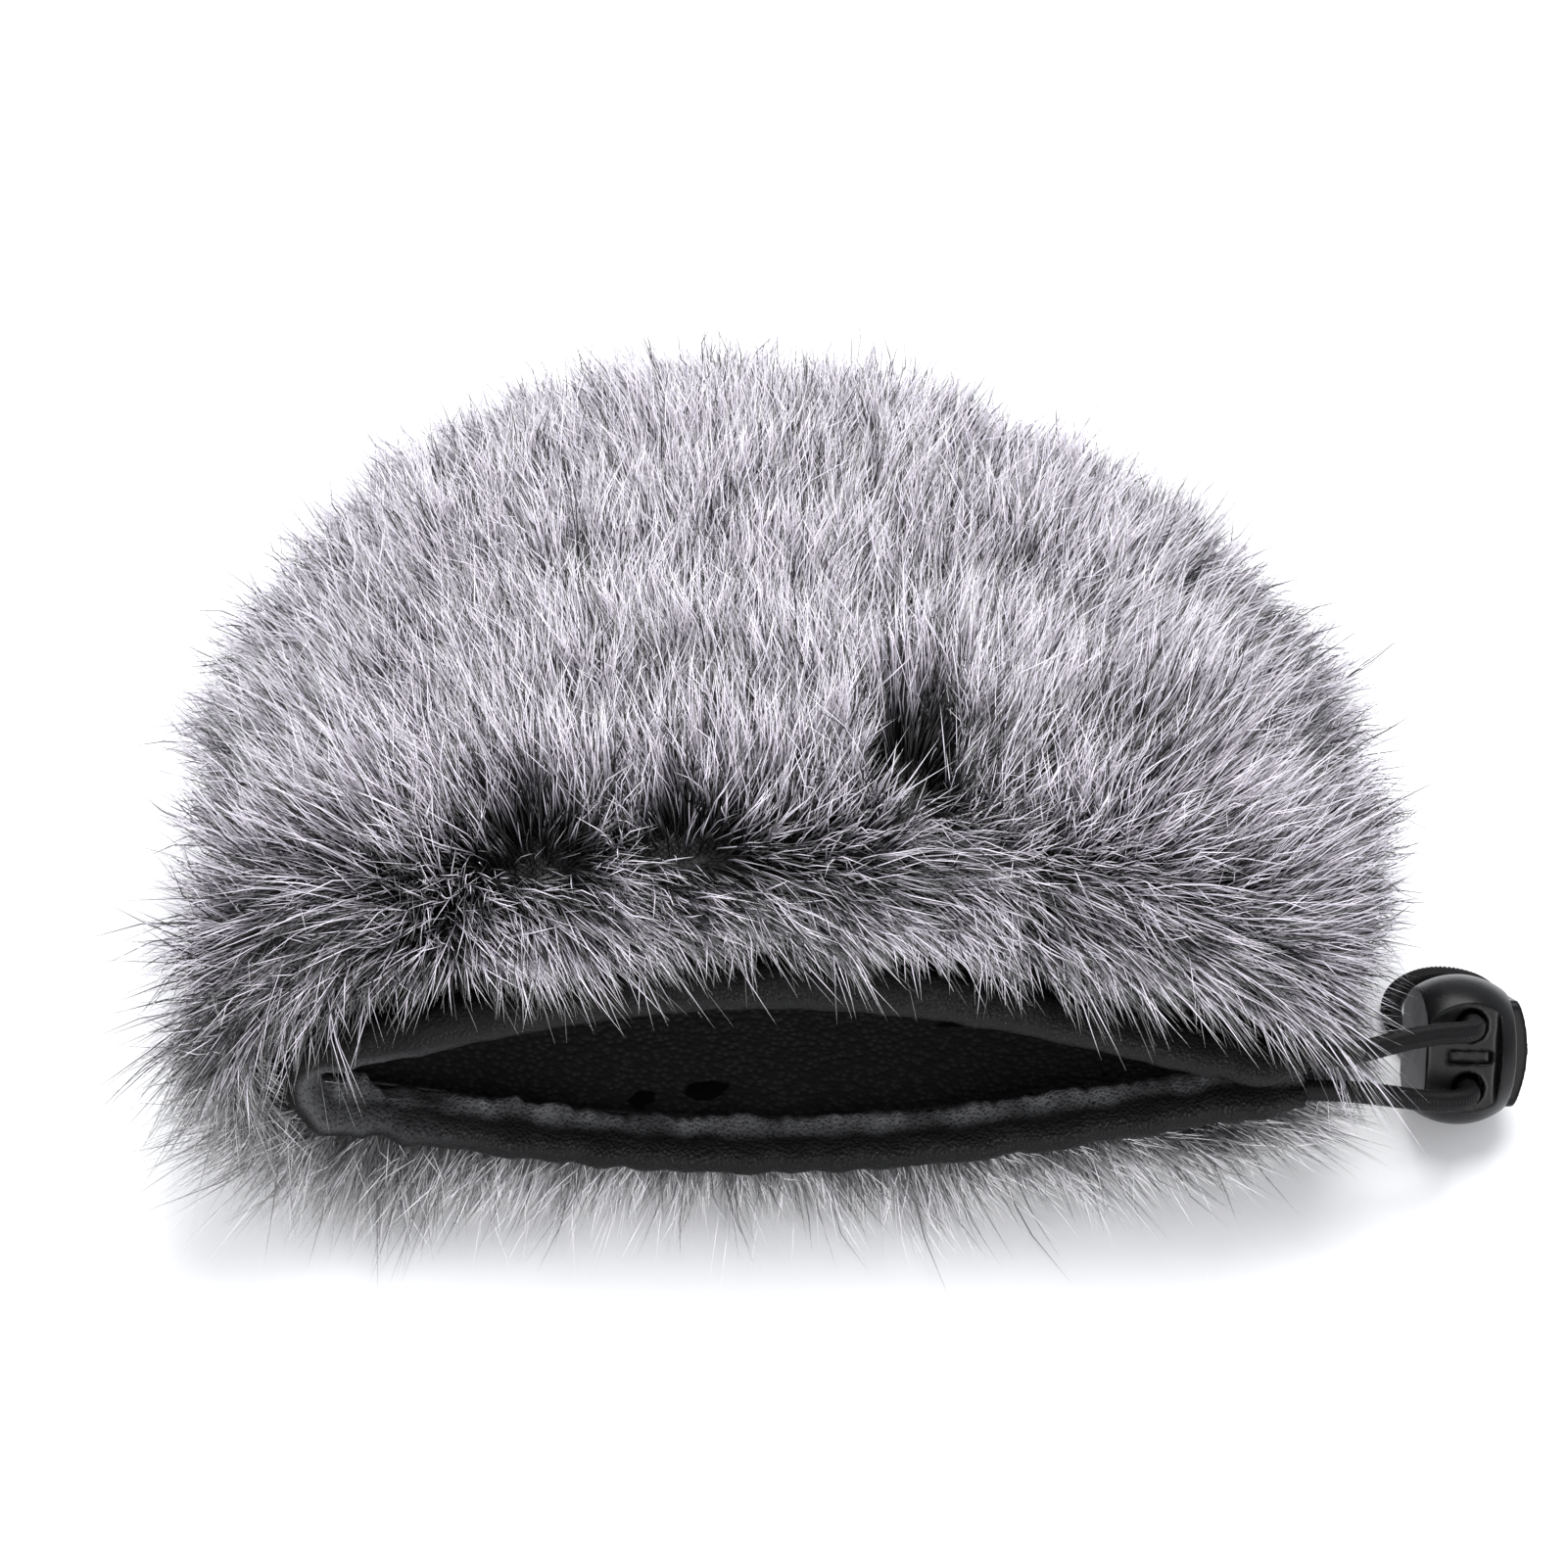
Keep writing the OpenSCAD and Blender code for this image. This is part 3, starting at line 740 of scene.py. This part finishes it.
class WINDSCREEN_OT_casing(bpy.types.Operator):
    """Makes the gathered leatherette casing that the drawcord runs in"""

    bl_idname = "windscreen.casing"
    bl_label = "Casing"

    def execute(self, context):
        settings = context.scene.windscreen_trim
        rings, sides = 900, 48
        centre, at = even(lip_path(400), rings)
        total = at[-1]
        ahead = unit(np.gradient(centre, axis=0))
        depth = np.array([0.0, 1.0, 0.0])
        out = unit(np.cross(ahead, depth))
        if out[10, 2] < 0:
            out = -out
        turn = np.linspace(0, math.tau, sides, endpoint=False)
        back, lift = np.cos(turn)[None], np.sin(turn)[None]
        share = (at / total)[:, None]
        s, across = at[:, None] + 0 * back, 0.0044 * back + 0 * share
        left, ends = bell(share, 0.5, 0.06), bell(share, 0.0, 0.05) + bell(share, 1.0, 0.05)
        lower = smooth((share - 0.49) / 0.05)
        inner = smooth((0.15 - lift) / 0.3)
        ridge = bell(back, 0.42, 0.42) * inner
        groove = bell(back, -0.2, 0.14) * inner
        gather = 0.3 + 0.5 * lower + 1.5 * left + 0.8 * ends
        swell = 0.5 + 0.5 * crumple(s, across, 4, 5, 0.010, 0.024)
        dip = bell(share, 0.575, 0.013)
        wrinkle = crumple(s, 0.25 * across, 9, 9, 0.0009, 0.0022)
        fold = crumple(s, 0.6 * across, 15, 8, 0.0035, 0.009)
        high = (CASING_T / 2 - 0.25) * MM * np.sign(lift) * np.abs(lift) ** 0.8
        high = high * (1 - 0.38 * smooth((back + 0.2) / 0.9))
        high = high + groove * lower * 0.0003 - ridge * lower * (swell * 0.0006 + 0.0008) * (1 - 1.6 * dip)
        high = high + fold * gather * (0.2 + smooth((back + 0.3) / 0.8)) * 0.00032
        high = high + wrinkle * (0.25 + 0.9 * ridge) * (0.35 + lower + left) * 0.00012
        deep = (CASING_D / 2 - 0.15) * MM * back + 0 * share
        deep = deep + crumple(s, across, 21, 6, 0.004, 0.01) * gather * 0.0003
        mouth_end = np.minimum(s, total - s)
        close = 0.62 + 0.38 * smooth(mouth_end / 0.006)
        inward = depth * (deep * close)[..., None]
        points = centre[:, None] + inward + out[:, None] * (high * close)[..., None]
        points = points.reshape(-1, 3)
        faces = grid_faces(rings, sides, True)
        last = (rings - 1) * sides
        faces += [list(range(sides))[::-1], list(range(last, last + sides))]
        shape = mesh_of("Mouth_casing", points, faces, leatherette_looks(settings))
        # Painted sheen mask: highest on the lower lip's ridge and its folds' crests, some at the inner left
        # end and a faint share everywhere, to stand for highlights
        sheen_mask = ridge * lower * (0.4 + 0.6 * smooth(0.5 + 0.5 * fold)) + 0.3 * left * inner + 0.02
        give(shape, "rub", np.clip(sheen_mask, 0, 1))
        casing = new_object("Mouth_casing", shape)
        face_out(casing)
        finish_piece(casing, "bag", "casing_leatherette", "mouth_casing")
        return {"FINISHED"}


def face_out(obj):
    """Turns the faces of a closed mesh outwards."""
    work = bmesh.new()
    work.from_mesh(obj.data)
    bmesh.ops.recalc_face_normals(work, faces=work.faces)
    work.to_mesh(obj.data)
    work.free()


# ---- Lining ----
class WINDSCREEN_OT_lining(bpy.types.Operator):
    """Makes the two panels of the lining, with their slack folds"""

    bl_idname = "windscreen.lining"
    bl_label = "Lining"

    def execute(self, context):
        outer = inset(LAYER_GAP + BACKING_T + SEAM_GAP)
        for name, side, slot, looks in (
            ("Lining_upper", 1, "mesh_lining", mesh_cloth_looks()),
            ("Lining_lower", -1, "satin_lining", satin_looks()),
        ):
            rows, columns = 105, 140
            r = np.linspace(0, 0.992, rows)[:, None]
            a = np.linspace(0, np.pi, columns)[None]
            wall = on_layer(outer, r + 0 * a, a + 0 * r, side)
            along_r, along_a = np.gradient(wall, axis=0), np.gradient(wall, axis=1)
            normal = unit(np.cross(along_a, along_r)) * side
            x, y = wall[..., 0], wall[..., 1]
            seam = smooth(np.sin(a) / 0.5)
            folds = ripple(y + 0.12 * x, 31, 5, 0.008, 0.02) * 0.5
            folds = folds + ripple(0.8 * y - 0.3 * x, 37, 5, 0.006, 0.014) * 0.4
            puckers = ripple(x + 0.1 * y, 43, 6, 0.005, 0.012) * bell(y, EDGE_Y * MM, 0.008)
            loose = (folds * 0.0007 + puckers * 0.0005 + 0.0013) / SLACK_EASE
            slack = SLACK_EASE * np.log1p(np.exp(loose)) * seam
            inner = wall - normal * (slack + LINING_T * 0.6 * MM)[..., None]
            outside = wall - normal * (slack * 0.9)[..., None]
            count = rows * columns
            faces = grid_faces(rows, columns, False)
            faces += [[count + k for k in reversed(f)] for f in grid_faces(rows, columns, False)]
            rim = list(range(columns)) + [i * columns + columns - 1 for i in range(1, rows)]
            rim += [(rows - 1) * columns + j for j in range(columns - 2, -1, -1)]
            rim += [i * columns for i in range(rows - 2, 0, -1)]
            faces += [[p, q, count + q, count + p] for p, q in zip(rim, rim[1:] + rim[:1])]
            points = np.concatenate([outside.reshape(-1, 3), inner.reshape(-1, 3)])
            panel = new_object(name, mesh_of(name, points, faces, looks))
            face_out(panel)
            finish_piece(panel, "bag", slot, "lining_top" if side > 0 else "lining_bottom")
        return {"FINISHED"}


# ---- Cord lock ----
def soften(node, name, material, voxel, rounds, ball):
    """A moulded copy of a CAD piece: its edges are eased, and its round part is made truly round."""
    shape = NODES[node].data.copy()
    source = new_object(name, shape)
    weld = source.modifiers.new("Weld", "WELD")
    weld.merge_threshold = 0.000002
    remesh = source.modifiers.new("Remesh", "REMESH")
    remesh.mode = "VOXEL"
    remesh.voxel_size = voxel
    piece = settle(source, name)
    points = np.zeros(len(piece.data.vertices) * 3)
    piece.data.vertices.foreach_get("co", points)
    points = points.reshape(-1, 3)
    if ball:
        middle = np.array(LOCK_AT) * MM
        off = points - middle
        far = np.linalg.norm(off, axis=1)
        radius = BALL_DIA / 2 * MM
        near = np.abs(far - radius) < 0.00011
        points[near] = middle + off[near] / far[near, None] * radius
        piece.data.vertices.foreach_set("co", points.ravel())
    ease = piece.modifiers.new("Ease", "SMOOTH")
    ease.factor = 0.5
    ease.iterations = rounds
    piece = settle(piece, name)
    piece.data.materials.clear()
    piece.data.materials.append(material)
    piece.data.polygons.foreach_set("use_smooth", [True] * len(piece.data.polygons))
    return piece


class WINDSCREEN_OT_cord_lock(bpy.types.Operator):
    """Makes the ball-shaped cord lock and its button"""

    bl_idname = "windscreen.cord_lock"
    bl_label = "Cord lock"

    def execute(self, context):
        settings = context.scene.windscreen_trim
        colour = tuple(settings.lock_colour)
        body = soften("lock_body", "Lock_ball", moulded_looks("Moulded ball", "lock_plastic", colour),
                      0.0002, 7, True)
        finish_piece(body, "lock", "lock_plastic", "lock_body")
        bright = tuple(1.15 * c for c in colour)
        button = soften("lock_plunger", "Lock_button",
                        moulded_looks("Moulded button", "plunger_plastic", bright), 0.00021, 5, False)
        finish_piece(button, "button", "plunger_plastic", "lock_plunger")
        return {"FINISHED"}


# ---- Pile ----
def pile_tree():
    """Plants tapering fibres on a ground: they stand, lean with its comb, and gather in tufts."""
    g = Builder("Long pile", {
        "Fibres per area": "float", "Length": "float", "Half thickness": "float", "Segments": "int",
        "Tuft": "float", "Gather": "float", "Tousle": "float", "Stray": "float", "Seed": "int",
        "Material": "material",
    })
    seed = g.given("Seed")
    density = g.named("made_thick") * g.given("Fibres per area")
    points = g.get("GeometryNodeDistributePointsOnFaces", {"distribute_method": "RANDOM"},
                   {"Mesh": g.given("Geometry"), "Density": density, "Seed": seed})
    dice = g.get("FunctionNodeRandomValue", {"data_type": "FLOAT_VECTOR"},
                 {0: (0, 0, 0), 1: (1, 1, 1), "Seed": seed})
    points = g.keep(points, "made_dice", dice, "FLOAT_VECTOR")
    other = g.get("FunctionNodeRandomValue", {"data_type": "FLOAT_VECTOR"},
                  {0: (-1, -1, -1), 1: (1, 1, 1), "Seed": seed + 57.0})
    points = g.keep(points, "made_stray", other, "FLOAT_VECTOR")
    points = g.keep(points, "made_root", g.position(), "FLOAT_VECTOR")
    spike = g.get("GeometryNodeMeshCone", {"fill_type": "NGON"},
                  {"Vertices": 3, "Side Segments": g.given("Segments"), "Radius Top": 0.0,
                   "Radius Bottom": 1.0, "Depth": 1.0})
    spike = g.keep(spike, "made_form", g.position(), "FLOAT_VECTOR")
    planted = g.get("GeometryNodeInstanceOnPoints", {}, {"Points": points, "Instance": spike})
    hair = g.get("GeometryNodeRealizeInstances", {}, {"Geometry": planted})

    side_x, side_y, t = g.named("made_form", "FLOAT_VECTOR").parts()
    root = g.named("made_root", "FLOAT_VECTOR")
    stand = g.named("made_stand", "FLOAT_VECTOR")
    comb = g.named("made_comb", "FLOAT_VECTOR")
    luck_a, luck_b, luck_c = g.named("made_dice", "FLOAT_VECTOR").parts()
    stray = g.named("made_stray", "FLOAT_VECTOR")

    tuft = g.add("ShaderNodeTexVoronoi", {"feature": "F1"}, {"Vector": root, "Scale": 1.0 / g.given("Tuft")})
    centre = Wire(g, tuft.outputs["Position"])
    own = g.get("ShaderNodeVectorMath", {"operation": "SUBTRACT"},
                {0: Wire(g, tuft.outputs["Color"]), 1: (0.5, 0.5, 0.5)})
    drift = g.get("ShaderNodeVectorMath", {"operation": "SUBTRACT"}, {
        0: g.get("ShaderNodeTexNoise", {}, {"Vector": centre, "Scale": 75.0, "Detail": 2.0}, "Color"),
        1: (0.5, 0.5, 0.5)})
    tousle = g.given("Tousle") * g.named("made_wild")
    wild = (luck_c ** 14.0) * g.given("Stray")
    lean = comb + drift * (tousle * 2.4) + own * (tousle * 0.9) + stray * (0.2 * g.named("made_wild") + wild)
    reach = g.given("Length") * g.named("made_reach") * (0.72 + 0.36 * luck_a + 0.12 * (luck_b ** 6.0))

    rise = t * 1.0 - t * t * 0.42
    sway = t * 0.32 + t * t * 0.5
    pull = g.given("Gather") * t ** 1.4
    axis = root + stand * (rise * reach) + lean * (sway * reach) + (centre - root) * pull
    curl = g.get("ShaderNodeVectorMath", {"operation": "SUBTRACT"}, {
        0: g.get("ShaderNodeTexNoise", {}, {"Vector": axis + stray * 0.002, "Scale": 170.0, "Detail": 1.0},
                 "Color"),
        1: (0.5, 0.5, 0.5)})
    axis = axis + curl * (t * reach * 0.36)
    x, y, z = axis.parts()
    (low_x, low_y, _), (high_x, high_y, high_z) = ROOM
    axis = g.vector(x.at_least(low_x).at_most(high_x), y.at_least(low_y).at_most(high_y),
                    z.at_least(0.0004 + 0.0006 * luck_a).at_most(high_z))
    heading = (stand * (1.0 - t * 0.84) + lean * (0.32 + t)).unit()
    across = heading.cross(stray + g.vector(0.13, 0.29, 0.41)).unit()
    other_way = heading.cross(across)
    half = g.given("Half thickness") * (1.0 + 4.0 * t) * (0.75 + 0.5 * luck_b)
    place = axis + across * (side_x * half) + other_way * (side_y * half)
    hair = g.move(hair, "Position", place)
    # Tone of each fibre: the ground's made_shade, which includes painted shade at the partings and the front
    # band, plus a random share of its own
    shade = (g.named("made_shade") + (luck_c - 0.5) * 0.8).at_least(0.0).at_most(1.0)
    u = 0.03 + shade * 0.93 + side_x * 0.006 + side_y * 0.0036
    hair = g.keep(hair, "OFBake", g.vector(u, 0.01 + t * 0.98, 0.0), "FLOAT2", "CORNER")
    return g.close(hair, g.given("Material"))


def ground(side):
    """The knitted ground's outer face, with the lay of the pile stored on it."""
    layer = inset(LAYER_GAP)
    rows, columns = 90, 120
    r = np.linspace(0, 0.998, rows)[:, None] ** 0.9
    a = np.linspace(0, np.pi, columns)[None]
    wall = on_layer(layer, r + 0 * a, a + 0 * r, side)
    normal = unit(np.cross(np.gradient(wall, axis=1), np.gradient(wall, axis=0))) * side
    if normal[10, columns // 2, 2] * side < 0:
        normal = -normal
    x, y = (wall[..., k] / MM for k in range(2))
    flank = smooth((np.abs(x) - 36) / 24)
    exit_side = np.exp(-((a / 0.5) ** 2)) * smooth((-36 - y) / 9)
    left_end = bell(x, -64, 16) * bell(y, -50, 16)
    edge = bell(y, EDGE_Y, 5.5)
    if side > 0:
        back = 0.05 + 0.7 * x / 62
        ridge = -40 + 3.0 * bell(x, 24, 18)
        ahead = smooth((ridge - y) / (5 + 5 * smooth((x + 8) / 20)))
        right = np.stack([0.8 - 0.15 * edge, -0.35 - 0.6 * edge, -0.25 - 0.45 * edge], -1)
        left = np.stack([-0.6 + 0 * x, -0.4 - 0.3 * edge, -0.45 + 0 * x], -1)
        front = left + (right - left) * smooth((x + 50) / 18)[..., None]
        crown = smooth((y - 38) / 14)
        rear = 0.48 * np.stack([np.sin(back), np.cos(back) * (1 - 0.9 * crown), 0.5 * crown - 0.35 * flank],
                               -1)
        comb = rear + (front - rear) * ahead[..., None]
    else:
        ahead = smooth((-24 - y) / 20)
        comb = np.stack([1.1 * x / 62 + 0.15, 0.3 - 1.2 * ahead, -0.4 * flank], -1)
    comb = comb + np.stack([0.3 * exit_side, (0.35 if side > 0 else 0.9) * exit_side, -0.2 * exit_side], -1)
    thick = np.ones_like(x)
    reach = np.ones_like(x)
    shade = 0.6 + 0 * x
    if side > 0:
        for px, py, wide, deep, force in PARTINGS:
            off = np.stack([(x - px) / wide, (y - py) / deep, 0 * x], -1)
            far = np.linalg.norm(off, axis=-1)
            pull = force * np.exp(-(far**2))
            comb = comb + (off / np.maximum(far, 0.4)[..., None]) * (pull * 0.9)[..., None]
            # Painted shade: a parting's fibres are also coloured darker, by up to 0.38 of the tone for each
            # unit of force
            shade = shade - 0.38 * pull
            thick = thick - 0.9 * np.exp(-((far / 0.8) ** 2)) * min(force, 1)
            reach = reach - 0.55 * np.exp(-((far / 0.8) ** 2)) * min(force, 1)
        # Tone is raised a little towards the back and lowered towards the right; the darker front band
        # (ahead), where the pile turns down over the mouth, is painted shade
        shade = shade - 0.03 + 0.05 * smooth(y / 50) - 0.19 * ahead - 0.08 * smooth((x - 30) / 30)
        shade = shade - 0.12 * left_end
        over_mouth = (0.27 + 0.12 * bell(x, 0, 50)) * ahead
        at_edge = (0.16 + 0.1 * smooth((48 - x) / 20)) * edge
        reach = reach * (1 - over_mouth - at_edge)
        reach = reach * (1 + 0.12 * bell(x, -66, 16) * bell(y, 8, 30))
        reach = reach * (1 - 0.4 * bell(x, -52, 8) * bell(y, 48, 5))
    else:
        shade = shade + 0.03 - 0.18 * smooth((np.abs(x) - 30) / 25) - 0.22 * edge - 0.1 * left_end
        reach = reach * (1 - 0.1 * edge + 0.05 * left_end)
        thick = (0.55 + 1.1 * ahead + 0.5 * flank) * (1 + 1.2 * left_end)
    patches = ripple(x * MM + 0.4 * y * MM, 51, 5, 0.012, 0.04)
    patches = patches + ripple(y * MM - 0.5 * x * MM, 57, 5, 0.011, 0.035)
    shade = shade + 0.06 * patches
    comb = comb - normal * (comb * normal).sum(-1, keepdims=True)
    thick = thick * (1 + 0.6 * edge) * (1 - 0.35 * exit_side)
    reach = reach * (1 - 0.32 * exit_side)
    stand = unit(normal + np.stack([0 * x, -1.1 * edge, -0.25 * edge * side], -1))
    mesh = mesh_of("Ground", wall, grid_faces(rows, columns, False))
    give(mesh, "made_stand", stand, "FLOAT_VECTOR")
    give(mesh, "made_wild", 1.2 + 1.8 * left_end + 0.7 * edge + (0.8 * ahead if side > 0 else 0))
    give(mesh, "made_comb", comb, "FLOAT_VECTOR")
    thick = np.clip(thick, 0.05, None)
    give(mesh, "made_thick", thick)
    give(mesh, "made_reach", reach)
    give(mesh, "made_shade", shade)
    planted = sum(p.area * float(thick.ravel()[list(p.vertices)].mean()) for p in mesh.polygons)
    return mesh, planted


class WINDSCREEN_OT_pile(bpy.types.Operator):
    """Plants the long pile of the upper and the lower panel"""

    bl_idname = "windscreen.pile"
    bl_label = "Long pile"

    def execute(self, context):
        settings = context.scene.windscreen_pile
        tree = pile_tree()
        for label, side, layers, length, root, tip, slot, node in (
            ("upper", 1, settings.layers, settings.length, settings.root_colour, settings.tip_colour,
             "fur_top", "fur_top_pile"),
            ("lower", -1, settings.under_layers, settings.under_length, settings.under_root_colour,
             settings.under_tip_colour, "fur_bottom", "fur_bottom_pile"),
        ):
            looks = pile_looks(f"Pile {label}", slot, tuple(root), tuple(tip))
            mesh, area = ground(side)
            for layer in range(layers):
                fine = layer % 2
                segments = 2 if fine else 3
                base = new_object("Ground", mesh)
                run_tree(base, tree, {
                    "Fibres per area": settings.faces / (6 * segments - 2) / area,
                    "Length": length * (FINE_LENGTH if fine else 1.0),
                    "Half thickness": settings.width * (FINE_WIDTH if fine else 1.0), "Segments": segments,
                    "Tuft": settings.lock_size * (FINE_TUFT if fine else 1.0),
                    "Gather": FINE_GATHER if fine else GATHER, "Tousle": TOUSLE, "Stray": STRAY,
                    "Seed": 11 + 7 * layer + (100 if side < 0 else 0), "Material": looks,
                })
                piece = settle(base, f"Pile_{label}_{layer + 1}")
                finish_piece(piece, "bag", slot, node)
        return {"FINISHED"}


# ---- Carried-over pieces ----
class WINDSCREEN_OT_sewn_parts(bpy.types.Operator):
    """Dresses the pieces that keep the frame's own shape: ground, threads, cord and spring"""

    bl_idname = "windscreen.sewn_parts"
    bl_label = "Sewn parts"

    def execute(self, context):
        knit, thread = knit_looks(), thread_looks()
        cord = bpy.data.materials["Elastic cord"]
        for node, looks in (
            ("fur_top_backing", knit), ("fur_bottom_backing", knit), ("casing_drawcord", cord),
            ("lock_spring", steel_looks()), ("fur_seam_thread", thread), ("lining_seam_thread", thread),
            ("casing_seam_thread", thread),
        ):
            NODES[node].data.materials.clear()
            NODES[node].data.materials.append(looks)
        return {"FINISHED"}


class WINDSCREEN_PT_panel(bpy.types.Panel):
    """Lists the windscreen's settings and pieces"""

    bl_label = "Furry windscreen"
    bl_idname = "WINDSCREEN_PT_panel"
    bl_space_type = "VIEW_3D"
    bl_region_type = "UI"
    bl_category = "Windscreen"

    def draw(self, context):
        for group in (context.scene.windscreen_stage, context.scene.windscreen_pile,
                      context.scene.windscreen_trim):
            box = self.layout.box()
            for name in group.__annotations__:
                box.prop(group, name)
        for operator in OPERATORS:
            self.layout.operator(operator.bl_idname)


OPERATORS = (
    WINDSCREEN_OT_stage, WINDSCREEN_OT_drawcord, WINDSCREEN_OT_casing, WINDSCREEN_OT_lining,
    WINDSCREEN_OT_cord_lock, WINDSCREEN_OT_pile, WINDSCREEN_OT_sewn_parts,
)
GROUPS = {
    "windscreen_stage": WindscreenStageSettings,
    "windscreen_pile": WindscreenPileSettings,
    "windscreen_trim": WindscreenTrimSettings,
}


def register():
    for item in (*GROUPS.values(), *OPERATORS, WINDSCREEN_PT_panel):
        bpy.utils.register_class(item)
    for name, group in GROUPS.items():
        setattr(bpy.types.Scene, name, PointerProperty(type=group))


def unregister():
    for name in GROUPS:
        delattr(bpy.types.Scene, name)
    for item in reversed((*GROUPS.values(), *OPERATORS, WINDSCREEN_PT_panel)):
        bpy.utils.unregister_class(item)


def main():
    register()
    bpy.ops.windscreen.stage()
    bpy.ops.windscreen.drawcord()
    bpy.ops.windscreen.casing()
    bpy.ops.windscreen.lining()
    bpy.ops.windscreen.cord_lock()
    bpy.ops.windscreen.sewn_parts()
    bpy.ops.windscreen.pile()


if __name__ == "__main__":
    main()
